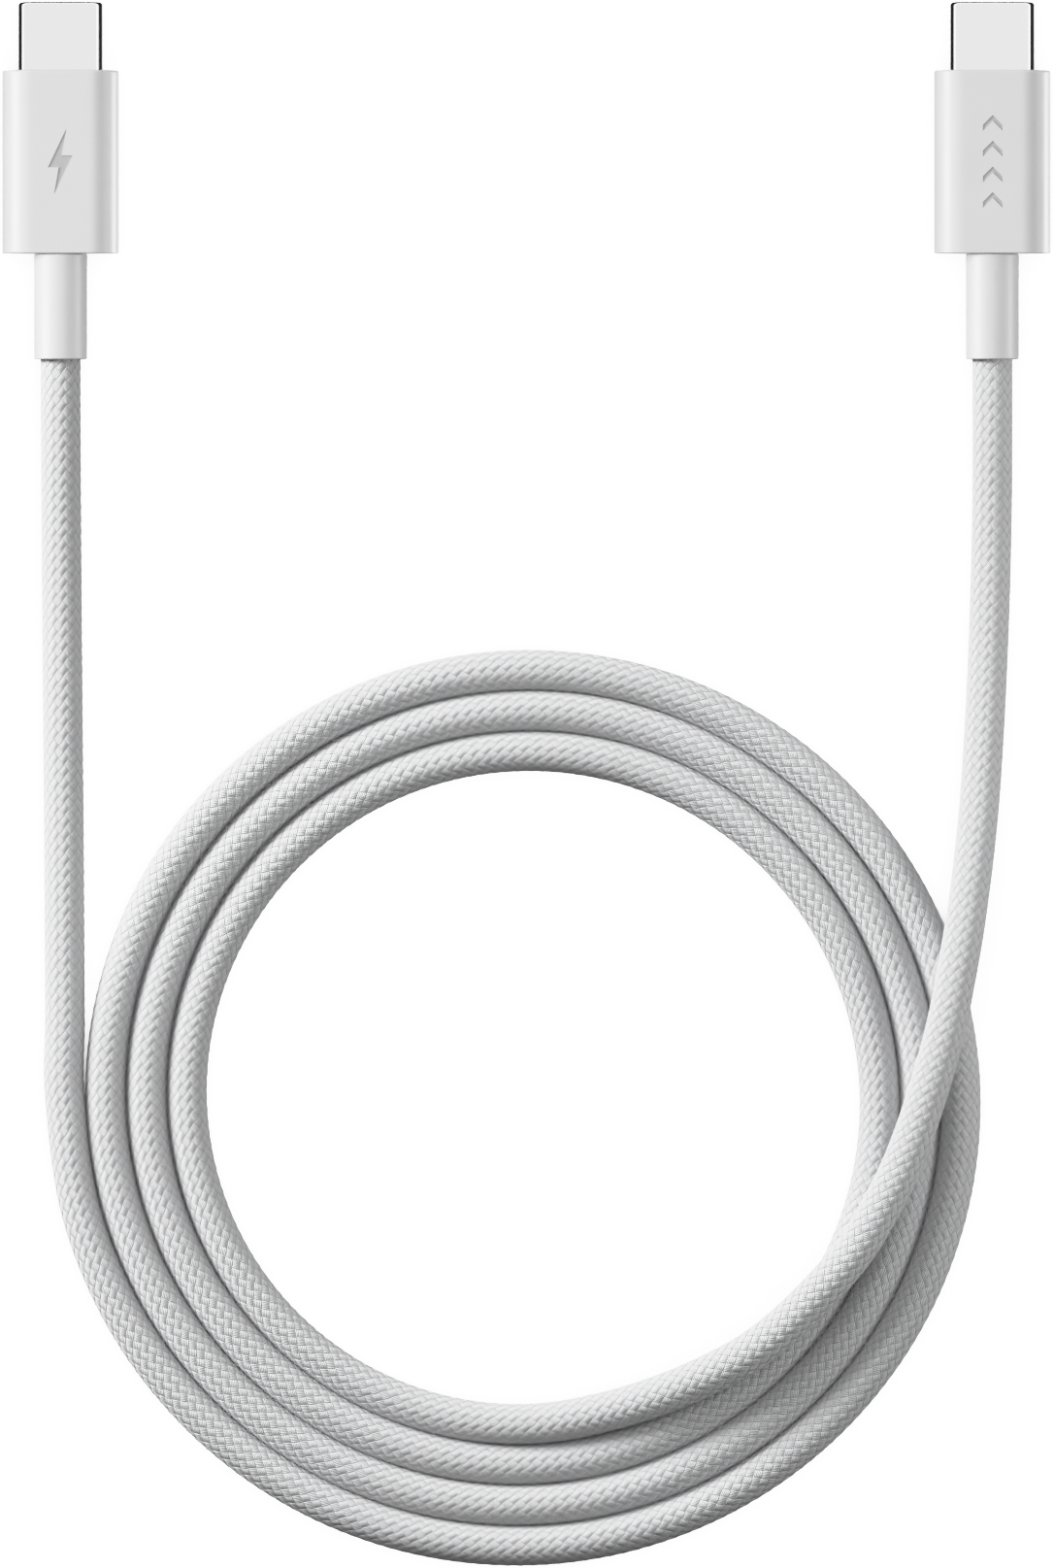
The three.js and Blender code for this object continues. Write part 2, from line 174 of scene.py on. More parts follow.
def coil_point(wound):
    """The cord's centre in the coil, at an angle wound from the coil's start on the left."""
    radius = COIL_RADIUS - COIL_PITCH * wound / TURN
    angle = math.pi + wound
    x = COIL_CENTRE.x + radius * math.cos(angle)
    y = COIL_CENTRE.y + radius * math.sin(angle)
    return (x, y, CORD_DIAMETER / 2)


def cord_exit(plug):
    """The middle of the strain relief's rear end."""
    low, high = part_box(plug + "_strain_relief")
    return Vector(((low.x + high.x) / 2, low.y, (low.z + high.z) / 2))


def smooth_line(points, per_span=10):
    """A Catmull-Rom curve through the points."""
    p = np.array(points)
    p = np.vstack([2 * p[0] - p[1], p, 2 * p[-1] - p[-2]])
    before, start, end, after = p[:-3, None], p[1:-2, None], p[2:-1, None], p[3:, None]
    t = np.linspace(0, 1, per_span, endpoint=False)[None, :, None]
    curve = 0.5 * (
        2 * start
        + (end - before) * t
        + (2 * before - 5 * start + 4 * end - after) * t**2
        + (3 * start - before - 3 * end + after) * t**3
    )
    return np.vstack([curve.reshape(-1, 3), p[-2]])


def cord_line():
    """The cord's centre line, from inside plug A's strain relief to inside plug B's."""
    inwards = Vector((0, PLUG_DEPTH, 0))
    steps = math.ceil(COIL_WOUND / TURN * POINTS_PER_TURN)
    return smooth_line(
        [tuple(cord_exit("plug_a") + inwards)]
        + [tuple(Vector(p) * MM) for p in LEAD_ROUTE]
        + [coil_point(COIL_WOUND * i / steps) for i in range(steps + 1)]
        + [tuple(Vector(p) * MM) for p in TAIL_ROUTE]
        + [tuple(cord_exit("plug_b") + inwards)]
    )


class Route:
    """A line with a frame that doesn't twist, looked up by the distance along it."""

    def __init__(self, line):
        step = np.linalg.norm(np.diff(line, axis=0), axis=1)
        self.line = line
        self.along = np.concatenate([[0], np.cumsum(step)])
        self.length = self.along[-1]
        self.tangent = np.gradient(line, self.along, axis=0)
        self.tangent /= np.linalg.norm(self.tangent, axis=1)[:, None]
        normal = np.cross(self.tangent[0], (0, 0, 1))
        normals = []
        for tangent in self.tangent:
            normal = normal - tangent * (normal @ tangent)
            normal = normal / np.linalg.norm(normal)
            normals.append(normal)
        self.normal = np.array(normals)

    def at(self, distance, values):
        """A table's values at the given distances along the line."""
        return np.stack([np.interp(distance, self.along, values[:, i]) for i in range(3)], axis=-1)

    def around(self, distance, angle):
        """The line's points, and there the ways along the line, out from it and round it."""
        tangent = self.at(distance, self.tangent)
        normal = self.at(distance, self.normal)
        side = np.cross(tangent, normal)
        cosine, sine = np.cos(angle)[..., None], np.sin(angle)[..., None]
        outwards = cosine * normal + sine * side
        sideways = cosine * side - sine * normal
        return self.at(distance, self.line), tangent, outwards, sideways


# ---- The braid: twelve bundles of threads wound each way, each over one and under one ----

CARRIERS = 12  # bundles each way
BRAID_PITCH = 1.23 * MM  # along the cord, from one crossing to the next
BRAID_START = math.radians(12)  # how far round the cord the first bundle starts
STEPS = np.array([-0.5, -0.4, 0.0, 0.4])  # the mesh's lines in each crossing, from its gap to the next one
BUNDLE_DIP = 0.06 * MM  # how far a bundle's ends fall towards the next crossing
BUNDLE_CROWN = 0.01 * MM  # how far its two sides fall
BUNDLE_GAP = 0.08 * MM  # the depth of the gaps between bundles
END_FALL = 0.4 * MM  # how steeply a bundle falls at its ends, per crossing
EDGE_FALL = 0.8 * MM  # how steeply its side edges fall into the gaps
BRAID_RADIUS = COIL_PITCH / 2  # at the bundles' crowns


def lattice(index):
    """A mesh line's place across the bundles, whose middles are at whole numbers."""
    return index // len(STEPS) + STEPS[index % len(STEPS)]


def braid_faces(rows, per_turn):
    """The quads of the slanting lattice, with the two lattice numbers of each corner, and both end caps."""
    row, column = np.meshgrid(np.arange(rows - 2), np.arange(per_turn), indexing="ij")
    odd = row % 2

    def vertex(r, k):
        return r * per_turn + k % per_turn

    right, left = vertex(row + 1, column + odd), vertex(row + 1, column - 1 + odd)
    quads = np.stack([vertex(row, column), right, vertex(row + 2, column), left], axis=-1)
    m = (column + (row + 1) // 2)[..., None] + np.array([0, 1, 1, 0])
    n = (column - row // 2)[..., None] - np.array([0, 0, 1, 1])
    k = np.arange(per_turn)
    first, last = rows * per_turn, rows * per_turn + 1
    caps = [
        np.stack([np.full_like(k, first), vertex(1, k), vertex(0, k)], axis=-1),
        np.stack([np.full_like(k, first), vertex(0, k), vertex(1, k - 1)], axis=-1),
        np.stack([np.full_like(k, last), vertex(rows - 1, k), vertex(rows - 2, k + 1)], axis=-1),
        np.stack([np.full_like(k, last), vertex(rows - 2, k), vertex(rows - 1, k)], axis=-1),
    ]
    return quads, m, n, np.concatenate(caps)


def over_and_under(a, b, cell_a, cell_b):
    """Which way's bundle is on top in each cell, and the place across and along it, from -0.5 to 0.5."""
    over = (cell_a + cell_b) % 2 == 0
    across = np.where(over, b - cell_b, a - cell_a)
    along = np.where(over, a - cell_a, b - cell_b)
    return over, across, along


def braid_place(a, b):
    """The distance along the cord and the angle round it."""
    return np.clip(BRAID_PITCH * (a - b) / 2, 0, route.length), BRAID_START + TURN * (a + b) / 2 / CARRIERS


def braid_normals(a, b, over, across, along):
    """The way out of the surface at each face corner. Bundles have flat tops and edges that fall away."""
    on_edge = np.abs(across) > (STEPS[-1] + 0.5) / 2
    crown_slope = -2 * BUNDLE_CROWN * across / STEPS[-1] ** 2
    side_slope = np.where(on_edge, -np.sign(across) * EDGE_FALL, crown_slope)
    run_slope = -2 * END_FALL * along
    slope_a, slope_b = np.where(over, run_slope, side_slope), np.where(over, side_slope, run_slope)
    _, tangent, outwards, sideways = route.around(*braid_place(a, b))
    lengthwise = (slope_a - slope_b) / BRAID_PITCH
    round_about = (slope_a + slope_b) / (TURN * BRAID_RADIUS / CARRIERS)
    normals = outwards - lengthwise[..., None] * tangent - round_about[..., None] * sideways
    return (normals / np.linalg.norm(normals, axis=-1)[..., None]).reshape(-1, 3)


def make_braid():
    """The braided tube. Its mesh lines follow the bundles both ways, so each gap is a crease in the mesh."""
    per_turn = CARRIERS * len(STEPS)
    rows = int(2 * len(STEPS) * route.length / BRAID_PITCH) // 2 * 2
    row, column = np.meshgrid(np.arange(rows), np.arange(per_turn), indexing="ij")
    m, n = column + (row + 1) // 2, column - row // 2
    a, b = lattice(m), lattice(n)
    _, across, along = over_and_under(a, b, np.floor(a + 0.5), np.floor(b + 0.5))
    depth = BUNDLE_DIP * (2 * along) ** 2 + BUNDLE_CROWN * (across / STEPS[-1]) ** 2
    in_gap = (m % len(STEPS) == 0) | (n % len(STEPS) == 0)
    depth = np.where(in_gap, BUNDLE_GAP, depth)
    middle, _, outwards, _ = route.around(*braid_place(a, b))
    points = middle + outwards * (BRAID_RADIUS - depth)[..., None]
    points = np.concatenate([points.reshape(-1, 3), route.line[[0, -1]]])

    quads, corner_m, corner_n, caps = braid_faces(rows, per_turn)
    obj = make_object("braided_cord", points, quads, caps)
    a, b = lattice(corner_m), lattice(corner_n)
    cell_a = np.floor(a.mean(-1, keepdims=True) + 0.5)
    cell_b = np.floor(b.mean(-1, keepdims=True) + 0.5)
    over, across, along = over_and_under(a, b, cell_a, cell_b)
    add_uv(obj, "weave", np.stack([across, along], axis=-1))
    run = np.where(over, a, b)
    bundle = np.where(over, cell_b % CARRIERS, CARRIERS + cell_a % CARRIERS) + 0 * run
    add_uv(obj, "bundle", np.stack([run, bundle], axis=-1))
    cap_normals = np.repeat([-route.tangent[0], route.tangent[-1]], caps.size // 2, axis=0)
    normals = np.concatenate([braid_normals(a, b, over, across, along), cap_normals])
    obj.data.normals_split_custom_set(normals.tolist())
    return obj


route = Route(cord_line())
cord = make_braid()
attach(cord, "root")
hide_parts("cord_lead", "cord_coil", "cord_tail")


# ---- Outlines and skins of the plugs ----

END_STEPS = 32  # points on each round end of an outline
FLAT_STEPS = 16  # points on its top, and on its bottom
OUTLINE = 2 * (END_STEPS + FLAT_STEPS)
SUPPORT = 0.03 * MM  # a row this far from each rounded edge keeps the faces beside it flat
EDGE_STEPS = 5


def outline(width, height):
    """A slot shape seen along the plug, as (x, z) points: right end, top, left end, bottom."""
    if width == height:
        angle = (np.arange(OUTLINE) - END_STEPS / 2) * TURN / OUTLINE
        return width / 2 * np.stack([np.cos(angle), np.sin(angle)], axis=-1)
    radius = height / 2
    straight = width / 2 - radius
    angle = np.linspace(-math.pi / 2, math.pi / 2, END_STEPS, endpoint=False)
    end = np.stack([straight + radius * np.cos(angle), radius * np.sin(angle)], axis=-1)
    top_x = np.linspace(straight, -straight, FLAT_STEPS, endpoint=False)
    top = np.stack([top_x, np.full(FLAT_STEPS, radius)], axis=-1)
    half = np.concatenate([end, top])
    return np.concatenate([half, -half])


def rounded(width, height, end, inwards, radius, hole=False):
    """Rows (width, height, y) from a side round its edge to an end face. inwards is the way along y from
    the end into the piece."""
    grow = 2 if hole else -2
    rows = [(width, height, end + inwards * (radius + SUPPORT))]
    for angle in np.linspace(0, math.pi / 2, EDGE_STEPS + 1):
        change = grow * radius * (1 - math.cos(angle))
        rows.append((width + change, height + change, end + inwards * radius * (1 - math.sin(angle))))
    change = grow * (radius + SUPPORT)
    rows.append((width + change, height + change, end))
    return rows


def skin(name, node, rows):
    """A closed skin round a CAD node's middle. Each row's outline is joined to the next, and the last to the
    first. Rows run from front to rear outside, and back to the front inside."""
    low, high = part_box(node)
    middle_x, middle_z = (low.x + high.x) / 2, (low.z + high.z) / 2
    sections = []
    for width, height, y in rows:
        x, z = outline(width, height).T
        sections.append(np.stack([middle_x + x, np.full(OUTLINE, y), middle_z + z], axis=-1))
    section, place = np.meshgrid(np.arange(len(rows)), np.arange(OUTLINE), indexing="ij")
    here, after = section * OUTLINE, (section + 1) % len(rows) * OUTLINE
    beside = (place + 1) % OUTLINE
    quads = np.stack([here + place, here + beside, after + beside, after + place], axis=-1)
    obj = make_object(name, np.concatenate(sections), quads)
    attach(obj, "root")
    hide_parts(node)
    return obj


# ---- Housings ----

HOUSING_EDGE = 0.22 * MM
HOUSING_REAR_EDGE = 0.1 * MM
SLOT_EDGE = 0.06 * MM
SLOT_PLAY = 0.05 * MM
NECK_DIAMETER = 3.8 * MM
CAVITY_ROOM = 0.2 * MM  # past the mould in front, and past the relief's flange behind


def make_housing(plug):
    """A smooth sleeve with a slot for the shell in front and a round hole behind."""
    node = plug + "_housing"
    low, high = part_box(node)
    width, height = high.x - low.x, high.z - low.z
    shell_low, shell_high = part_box(plug + "_metal_shell")
    slot = (shell_high.x - shell_low.x + 2 * SLOT_PLAY, shell_high.z - shell_low.z + 2 * SLOT_PLAY)
    mould_low, mould_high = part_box(plug + "_inner_mould")
    cavity = (mould_high.x - mould_low.x + 2 * SLOT_PLAY, mould_high.z - mould_low.z + 2 * SLOT_PLAY)
    flange_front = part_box(plug + "_strain_relief")[1].y
    cavity_rear = flange_front - CAVITY_ROOM
    cavity_front = mould_high.y + CAVITY_ROOM
    rows = [(*slot, cavity_front)]
    rows += rounded(*slot, high.y, -1, SLOT_EDGE, hole=True)
    rows += rounded(width, height, high.y, -1, HOUSING_EDGE)[::-1]
    rows += rounded(width, height, low.y, 1, HOUSING_REAR_EDGE)
    rows += [
        (NECK_DIAMETER, NECK_DIAMETER, low.y),
        (NECK_DIAMETER, NECK_DIAMETER, cavity_rear),
        (*cavity, cavity_rear),
        (*cavity, cavity_front),
    ]
    return skin(plug + "_smooth_housing", node, rows)


# ---- Strain reliefs ----

RELIEF_EDGE = 0.12 * MM
RELIEF_MOUTH = 2 * BRAID_RADIUS + 0.05 * MM
FLANGE_THICKNESS = 0.15 * MM
FLANGE_RISE = 0.25 * MM
JACKET_BORE = 3.1 * MM


def make_relief(plug):
    """A smooth round sleeve, open behind for the cord. A neck and a flange hold it in the housing."""
    node = plug + "_strain_relief"
    low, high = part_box(node)
    diameter = high.x - low.x
    sleeve_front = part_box(plug + "_housing")[0].y - SLOT_PLAY
    flange_rear = high.y - FLANGE_THICKNESS
    neck = NECK_DIAMETER - 2 * SLOT_PLAY
    flange = neck + 2 * FLANGE_RISE
    rows = [
        (JACKET_BORE, JACKET_BORE, high.y),
        (flange, flange, high.y),
        (flange, flange, flange_rear),
        (neck, neck, flange_rear),
        (neck, neck, sleeve_front),
    ]
    rows += rounded(diameter, diameter, sleeve_front, -1, RELIEF_EDGE)[::-1]
    rows += rounded(diameter, diameter, low.y, 1, RELIEF_EDGE)
    rows += rounded(RELIEF_MOUTH, RELIEF_MOUTH, low.y, 1, RELIEF_EDGE / 2, hole=True)[::-1]
    socket_end = low.y + PLUG_DEPTH + SLOT_PLAY
    rows += [(RELIEF_MOUTH, RELIEF_MOUTH, socket_end), (JACKET_BORE, JACKET_BORE, socket_end)]
    return skin(plug + "_smooth_relief", node, rows)


# ---- Metal shells ----

SHELL_WALL = 0.25 * MM
SHELL_EDGE = 0.36 * MM
SHELL_LIP = 0.45 * MM  # how far the rolled front edge reaches inwards
SHELL_LIP_DEPTH = 0.25 * MM
SHELL_BURR = 0.02 * MM


def make_shell(plug):
    """The drawn metal tube with a rolled front edge."""
    node = plug + "_metal_shell"
    low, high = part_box(node)
    width, height = high.x - low.x, high.z - low.z
    inside = (width - 2 * SHELL_WALL, height - 2 * SHELL_WALL)
    mouth = (width - 2 * SHELL_LIP, height - 2 * SHELL_LIP)
    lip_rear = high.y - SHELL_LIP_DEPTH
    rows = [(*inside, lip_rear), (*mouth, lip_rear)]
    rows += rounded(*mouth, high.y, -1, SHELL_BURR, hole=True)
    rows += rounded(width, height, high.y, -1, SHELL_EDGE)[::-1]
    rows += [(width, height, low.y), (*inside, low.y)]
    return skin(plug + "_smooth_shell", node, rows)


housings = {plug: make_housing(plug) for plug in PLUGS}
reliefs = {plug: make_relief(plug) for plug in PLUGS}
shells = {plug: make_shell(plug) for plug in PLUGS}


# ---- Marks sunk into the housings ----

MARK_DEPTH = 0.1 * MM
BOLT = [(0.25, 0.5), (-0.5, -0.09), (-0.06, -0.09), (-0.25, -0.5), (0.5, 0.09), (0.06, 0.09)]
BOLT_WIDTH = 2.4 * MM
BOLT_LENGTH = 6.4 * MM
ARROWS = 4
ARROW_SPACING = 2.5 * MM
ARROW_WIDTH = 1.9 * MM
ARROW_RISE = 0.95 * MM
ARROW_STROKE = 0.55 * MM


def arrow_outline(middle_y):
    """A plain arrowhead that points to the plug's tip."""
    half = ARROW_WIDTH / 2
    low = middle_y - (ARROW_RISE + ARROW_STROKE) / 2
    return [
        (-half, low),
        (0, low + ARROW_RISE),
        (half, low),
        (half, low + ARROW_STROKE),
        (0, low + ARROW_RISE + ARROW_STROKE),
        (-half, low + ARROW_STROKE),
    ]


def sink(housing, outlines):
    """Cuts the outlines into the housing's top. The floors take the housing's second material."""
    low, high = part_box(housing.name.replace("smooth_", ""))
    middle = (low + high) / 2
    for points in outlines:
        size = len(points)
        rings = [
            [(middle.x + x, middle.y + y, z) for x, y in points]
            for z in (high.z - MARK_DEPTH, high.z + MARK_DEPTH)
        ]
        sides = [(i, (i + 1) % size, size + (i + 1) % size, size + i) for i in range(size)]
        faces = [tuple(reversed(range(size))), tuple(range(size, 2 * size)), *sides]
        mesh = bpy.data.meshes.new("cutter")
        mesh.from_pydata(rings[0] + rings[1], [], faces)
        mesh.materials.append(None)
        mesh.materials.append(None)
        for face in mesh.polygons:
            face.material_index = 1
        cutter = bpy.data.objects.new("cutter", mesh)
        bpy.context.scene.collection.objects.link(cutter)
        change = housing.modifiers.new("mark", "BOOLEAN")
        change.operation = "DIFFERENCE"
        change.object = cutter
        change.solver = "EXACT"
        bpy.context.view_layer.objects.active = housing
        bpy.ops.object.modifier_apply(modifier=change.name)
        bpy.data.objects.remove(cutter)
        bpy.data.meshes.remove(mesh)


for housing in housings.values():
    housing.data.materials.append(None)
    housing.data.materials.append(None)
sink(housings["plug_a"], [[(x * BOLT_WIDTH, y * BOLT_LENGTH) for x, y in BOLT]])
sink(housings["plug_b"], [arrow_outline((i - (ARROWS - 1) / 2) * ARROW_SPACING) for i in range(ARROWS)])

SHARP = math.radians(40)
for piece in [*housings.values(), *reliefs.values(), *shells.values()]:
    piece.data.set_sharp_from_angle(angle=SHARP)


# ---- Materials ----


class Nodes:
    """One material's node tree, built with short calls. An input is a value or another node's output."""

    def __init__(self, name):
        self.material = bpy.data.materials.new(name)
        self.material.use_nodes = True
        self.tree = self.material.node_tree
        self.shader = self.tree.nodes["Principled BSDF"]

    def add(self, kind, inputs, output=0, **settings):
        node = self.tree.nodes.new("ShaderNode" + kind)
        for name, value in settings.items():
            setattr(node, name, value)
        for name, value in inputs.items():
            self.put(node.inputs[name], value)
        return node.outputs[output]

    def put(self, socket, value):
        if isinstance(value, bpy.types.NodeSocket):
            self.tree.links.new(value, socket)
        else:
            socket.default_value = value

    def set(self, **values):
        for name, value in values.items():
            self.put(self.shader.inputs[name.replace("_", " ")], value)

    def math(self, operation, *values):
        return self.add("Math", dict(enumerate(values)), operation=operation)

    def ramp(self, value, low, high, start=0.0, end=1.0):
        """start up to low, end from high, and a smooth step between."""
        inputs = {"Value": value, "From Min": low, "From Max": high, "To Min": start, "To Max": end}
        return self.add("MapRange", inputs, interpolation_type="SMOOTHSTEP")

    def uv(self, name):
        vector = self.add("UVMap", {}, uv_map=name)
        split = self.add("SeparateXYZ", {"Vector": vector}).node
        return split.outputs["X"], split.outputs["Y"]

    def place(self):
        return self.add("TexCoord", {}, output="Object")

    def vector(self, x, y, z):
        return self.add("CombineXYZ", {"X": x, "Y": y, "Z": z})

    def noise(self, vector, scale, detail=2.0):
        return self.add("TexNoise", {"Vector": vector, "Scale": scale, "Detail": detail})

    def colour(self, shade, dark, light):
        """A colour between two, by a number from 0 to 1."""
        inputs = {"Factor": shade, "A": (*dark, 1), "B": (*light, 1)}
        node = self.add("Mix", {}, data_type="RGBA").node
        for name, value in inputs.items():
            self.put(next(s for s in node.inputs if s.name == name and s.enabled), value)
        return next(s for s in node.outputs if s.enabled)

    def bump(self, height, distance, strength=1.0, normal=None):
        inputs = {"Height": height, "Distance": distance, "Strength": strength}
        if normal is not None:
            inputs["Normal"] = normal
        return self.add("Bump", inputs)


def shade_of(colour, factor):
    return tuple(min(1, c * factor) for c in colour)


THREADS = 5  # side by side in a bundle
THREAD_DEPTH = 0.025 * MM
THREAD_PAINTED_SHADE = 0.5  # painted shade: how much the colour darkens in the gaps between threads
FIBRE_DEPTH = 0.004 * MM
FIBRE_SHADE = 0.14
FIBRES_ALONG = 2.5  # per crossing
FIBRES_ACROSS = 40  # per bundle
BUNDLE_PAINTED_SHADE = 0.2  # painted shade: how much the colour darkens in the gaps between bundles
SIDE_PAINTED_SHADE_FROM = 0.43  # where that painted shade starts, in bundle widths from the middle
END_PAINTED_SHADE_FROM = 0.4
YARN_BASE = 0.93
# The yarn's colour runs from white towards this dark colour: slightly with the fibres' random tone, and
# further with painted shade in the gaps.
YARN_SHADED = (0.28, 0.28, 0.29)
YARN_WHITE = (0.84, 0.843, 0.85)


def braid_material():
    """White yarn: threads side by side, fine fibres along them, and painted shade in the gaps between
    threads and between bundles.
    """
    n = Nodes("braid_yarn")
    across, along = n.uv("weave")
    run, bundle = n.uv("bundle")
    wave = n.math("COSINE", n.math("MULTIPLY", across, TURN * THREADS))
    run_lines = n.math("MULTIPLY", run, FIBRES_ALONG)
    cross_lines = n.math("MULTIPLY", across, FIBRES_ACROSS)
    fibre = n.noise(n.vector(run_lines, cross_lines, bundle), 1.0, 3.0)
    normal = n.bump(wave, THREAD_DEPTH)
    normal = n.bump(fibre, FIBRE_DEPTH, normal=normal)
    # Painted shade: the colour darkens near each bundle's sides and ends, in the gaps between bundles.
    side = n.ramp(n.math("ABSOLUTE", across), SIDE_PAINTED_SHADE_FROM, 0.5)
    end = n.ramp(n.math("ABSOLUTE", along), END_PAINTED_SHADE_FROM, 0.5)
    bundle_gap_painted_shade = n.math("MULTIPLY", n.math("MAXIMUM", side, end), BUNDLE_PAINTED_SHADE)
    # Painted shade: the colour darkens in the gaps between threads.
    thread_gap_painted_shade = n.math("MULTIPLY", n.ramp(wave, -1.0, -0.3, 1.0, 0.0), THREAD_PAINTED_SHADE)
    # light sets the colour between white and dark: the fibres' random tone, less the painted shade.
    light = n.math("ADD", n.math("MULTIPLY", fibre, FIBRE_SHADE), YARN_BASE)
    light = n.math("SUBTRACT", light, thread_gap_painted_shade)
    light = n.math("SUBTRACT", light, bundle_gap_painted_shade)
    light = n.add("Clamp", {"Value": light})
    colour = n.colour(light, YARN_SHADED, YARN_WHITE)
    n.set(Base_Color=colour, Normal=normal, Roughness=n.ramp(fibre, 0.2, 0.8, 0.5, 0.7))
    n.set(Sheen_Weight=0.2, Sheen_Roughness=0.4, Specular_IOR_Level=0.4)
    return n.material


def moulded(name, colour, roughness, grain=0.006 * MM, grain_scale=2500, mottle=0.03):
    """Moulded plastic, rubber or ceramic: a fine grain, and faint clouds in colour and gloss."""
    n = Nodes(name)
    place = n.place()
    grain_height = n.noise(place, grain_scale, 3.0)
    clouds = n.noise(place, 180, 2.0)
    n.set(
        Base_Color=n.colour(clouds, shade_of(colour, 1 - mottle), shade_of(colour, 1 + mottle)),
        Roughness=n.ramp(clouds, 0.3, 0.7, roughness - 0.03, roughness + 0.03),
        Normal=n.bump(grain_height, grain, 0.4),
    )
    return n.material


LINE_STRETCH = 0.02  # how much slower the drawing lines change along the plug than across it
LINE_SCALE = 9000
LINE_DEPTH = 0.001 * MM


def metal(name, colour, roughness, brushed=0.0):
    """Plated or stamped metal: fine drawing lines along the plug, and faint clouds in the gloss."""
    n = Nodes(name)
    place = n.place()
    split = n.add("SeparateXYZ", {"Vector": place}).node
    x, y, z = (split.outputs[axis] for axis in "XYZ")
    lines = n.noise(n.vector(x, n.math("MULTIPLY", y, LINE_STRETCH), z), LINE_SCALE)
    clouds = n.noise(place, 250, 2.0)
    n.set(
        Base_Color=n.colour(clouds, shade_of(colour, 0.97), shade_of(colour, 1.03)),
        Metallic=1.0,
        Roughness=n.ramp(clouds, 0.3, 0.7, roughness - 0.02, roughness + 0.02),
        Normal=n.bump(lines, LINE_DEPTH, brushed),
    )
    return n.material


WHITE = (0.86, 0.86, 0.86)
MATERIALS = {
    "housing": moulded("satin_white_plastic", WHITE, 0.34),
    "relief": moulded("matte_white_elastomer", shade_of(WHITE, 0.82), 0.45),
    "shell": metal("polished_nickel", (0.86, 0.86, 0.86), 0.12, 0.1),
    "insulator": moulded("black_polymer", (0.03, 0.03, 0.032), 0.45),
    "gold": metal("gold_plate", (0.83, 0.62, 0.28), 0.22, 0.2),
    "spring": metal("stamped_steel", (0.6, 0.6, 0.62), 0.28, 0.5),
    "card": moulded("green_board", (0.02, 0.12, 0.06), 0.4),
    "chip": moulded("black_epoxy", (0.03, 0.03, 0.03), 0.5),
    "ceramic": moulded("brown_ceramic", (0.46, 0.34, 0.22), 0.4),
    "mould": moulded("natural_polyethylene", (0.75, 0.74, 0.7), 0.5),
    "ferrule": metal("tinned_steel", (0.55, 0.54, 0.5), 0.35, 0.5),
    "jacket": moulded("grey_elastomer", (0.7, 0.7, 0.7), 0.6),
    "red_wire": moulded("red_insulation", (0.5, 0.03, 0.02), 0.4),
    "black_wire": moulded("black_insulation", (0.02, 0.02, 0.02), 0.4),
    "blue_wire": moulded("blue_insulation", (0.03, 0.09, 0.4), 0.4),
    "green_wire": moulded("green_insulation", (0.03, 0.21, 0.06), 0.4),
    "white_wire": moulded("white_insulation", (0.8, 0.8, 0.78), 0.4),
    "braid": braid_material(),
}
MARK = moulded("sunk_mark", (0.6, 0.6, 0.61), 0.6, grain=0.01 * MM)

for part in frame["record"]["subparts"]:
    node = frame["nodes"][part["node"]]
    node.data.materials.clear()
    node.data.materials.append(MATERIALS[part["material_slot"]])
cord.data.materials.append(MATERIALS["braid"])
for slot, pieces in (("relief", reliefs), ("shell", shells)):
    for piece in pieces.values():
        piece.data.materials.append(MATERIALS[slot])
for housing in housings.values():
    housing.data.materials[0] = MATERIALS["housing"]
    housing.data.materials[1] = MARK


# ---- Floor, light and world ----

FLOOR_SIZE = 3.0
FLOOR_LEVEL = -0.05 * MM
BACKGROUND = 4.0  # how bright the floor and the room are to the camera, far above white

# The room's light. Each fade runs between two values of the dot product with the way it belongs to.
UP = (0.0, 0.0, 1.0)
AMBIENT_WAY = (0.2, 0.98, 0.0)  # the soft light is brighter from this way
AMBIENT_FADE = (-0.7, 0.7)
AMBIENT_FAR = 0.04
AMBIENT_NEAR = 0.62
HORIZON_FADE = (-0.1, 0.1)  # below the horizon there is no soft light
HORIZON_SHADE = 0.02  # what metal reflects of the horizon
CEILING_WAY = (-0.08, 0.0, 1.0)
CEILING_RISE = (0.06, 0.2)  # from the horizon's shade to the ceiling's bright edge
CEILING_EDGE_GLOW = 2.0
CEILING_SETTLE = (0.36, 0.52)  # from the edge's glow to the ceiling's
CEILING_GLOW = 1.03
GROUND_WAY = (0.1, -0.3, -1.0)
GROUND_RISE = (0.68, 0.9)
GROUND_GLOW = 0.9

# How the brightest tones bend down towards white, as (light, shown) pairs. Darker tones stay as they are.
SHOULDER = [(0.35, 0.35), (0.7, 0.7), (0.85, 0.8), (1.0, 0.86), (1.25, 0.92), (2.0, 0.97)]


def add_floor():
    """A pale floor. It takes shadows, and neither throws light on the object nor keeps light from it."""
    mesh = bpy.data.meshes.new("white_floor")
    half = FLOOR_SIZE / 2
    corners = [(x * half, y * half, FLOOR_LEVEL) for x, y in ((-1, -1), (1, -1), (1, 1), (-1, 1))]
    mesh.from_pydata(corners, [], [(0, 1, 2, 3)])
    floor = bpy.data.objects.new("white_floor", mesh)
    bpy.context.scene.collection.objects.link(floor)
    n = Nodes("white_floor")
    n.set(Base_Color=(0.85, 0.85, 0.85, 1), Roughness=0.9)
    mesh.materials.append(n.material)
    floor.visible_diffuse = False
    floor.visible_glossy = False
    floor.visible_shadow = False
    return floor


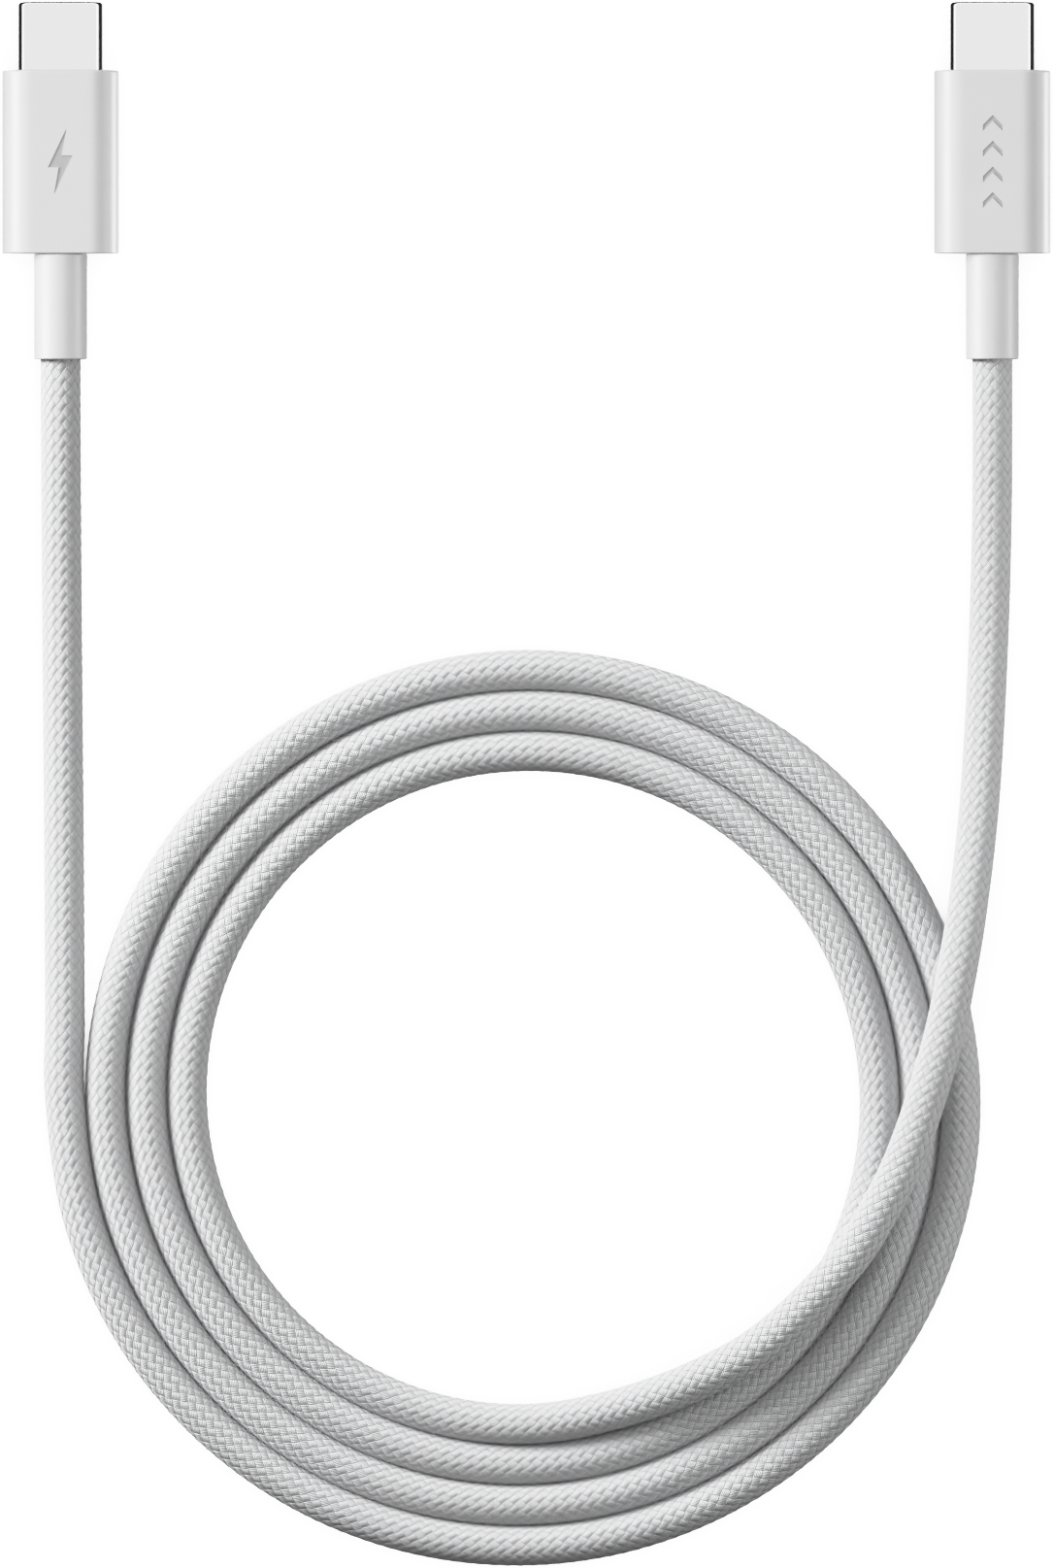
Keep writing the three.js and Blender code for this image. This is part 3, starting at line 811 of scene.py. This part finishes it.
def add_light(name, direction, size, brightness, receivers, distance=1.2):
    """A round soft light on these objects only. brightness is what a white surface facing it shows."""
    data = bpy.data.lights.new(name, "AREA")
    data.shape = "DISK"
    data.size = size
    data.energy = brightness * (math.pi * distance) ** 2
    light = bpy.data.objects.new(name, data)
    way = Vector(direction).normalized()
    light.location = (cad_low + cad_high) / 2 + way * distance
    light.rotation_mode = "QUATERNION"
    light.rotation_quaternion = way.to_track_quat("Z", "Y")
    light.visible_camera = False
    bpy.context.scene.collection.objects.link(light)
    group = bpy.data.collections.new(name + "_falls_on")
    for obj in receivers:
        group.objects.link(obj)
    light.light_linking.receiver_collection = group


class WorldNodes(Nodes):
    """The world's node tree, built with the same short calls."""

    def __init__(self, world):
        world.use_nodes = True
        self.tree = world.node_tree
        self.shader = self.tree.nodes["Background"]


def add_world():
    """A white room. Matte surfaces get soft light from above, more of it from one side. Glossy ones see a
    bright ceiling, a dark band round the horizon and a bright floor."""
    world = bpy.data.worlds.new("studio")
    n = WorldNodes(world)
    direction = n.add("TexCoord", {}, output="Generated")

    def towards(way):
        return n.add("VectorMath", {0: direction, 1: way}, output="Value", operation="DOT_PRODUCT")

    ambient = n.ramp(towards(AMBIENT_WAY), *AMBIENT_FADE, AMBIENT_FAR, AMBIENT_NEAR)
    ambient = n.math("MULTIPLY", ambient, n.ramp(towards(UP), *HORIZON_FADE))
    edge = n.ramp(towards(CEILING_WAY), *CEILING_RISE, HORIZON_SHADE, CEILING_EDGE_GLOW)
    settle = n.ramp(towards(CEILING_WAY), *CEILING_SETTLE, 0.0, CEILING_EDGE_GLOW - CEILING_GLOW)
    ground = n.ramp(towards(GROUND_WAY), *GROUND_RISE, 0.0, GROUND_GLOW)
    glossy = n.math("ADD", n.math("SUBTRACT", edge, settle), ground)
    path = n.add("LightPath", {}).node
    inputs = {"Value": path.outputs["Is Glossy Ray"], "To Min": ambient, "To Max": glossy}
    strength = n.add("MapRange", inputs)
    inputs = {"Value": path.outputs["Is Camera Ray"], "To Min": strength, "To Max": BACKGROUND}
    n.put(n.shader.inputs["Color"], (1, 1, 1, 1))
    n.put(n.shader.inputs["Strength"], n.add("MapRange", inputs))
    bpy.context.scene.world = world


def soften_highlights():
    """Lets the brightest tones roll off, as a photograph does. The last curve bends all colours alike."""
    view = bpy.context.scene.view_settings
    view.view_transform = "Standard"
    view.use_curve_mapping = True
    view.curve_mapping.white_level = (BACKGROUND, BACKGROUND, BACKGROUND)
    points = view.curve_mapping.curves[-1].points
    for light, shown in SHOULDER:
        points.new(light / BACKGROUND, shown)
    for point in points:
        point.handle_type = "VECTOR"
    view.curve_mapping.update()


floor = add_floor()
sleeves = [*reliefs.values()]
moulded_pieces = [*housings.values(), *sleeves]
add_light("floor_top", UP, size=1.6, brightness=2.0 * BACKGROUND, receivers=[floor])
add_light("cord_key", (-0.86, 0.47, 0.33), size=0.4, brightness=1.63, receivers=[cord], distance=0.9)
add_light("cord_fill", (1.0, 0.1, 0.3), size=0.1, brightness=0.31, receivers=[cord], distance=0.25)
add_light("plug_key", (-0.9, 0.15, 0.42), size=0.6, brightness=0.68, receivers=moulded_pieces)
add_light("plug_top", (-0.3, 0.1, 1.0), size=1.4, brightness=0.28, receivers=moulded_pieces)
add_light("housing_fill", (0.92, -0.09, -0.38), size=0.3, brightness=0.74, receivers=[*housings.values()])
add_light("relief_key", (-0.95, 0.0, 0.31), size=0.3, brightness=0.38, receivers=sleeves)
add_light("relief_fill", (1.0, 0.0, 0.1), size=0.3, brightness=0.4, receivers=sleeves)
add_world()
soften_highlights()
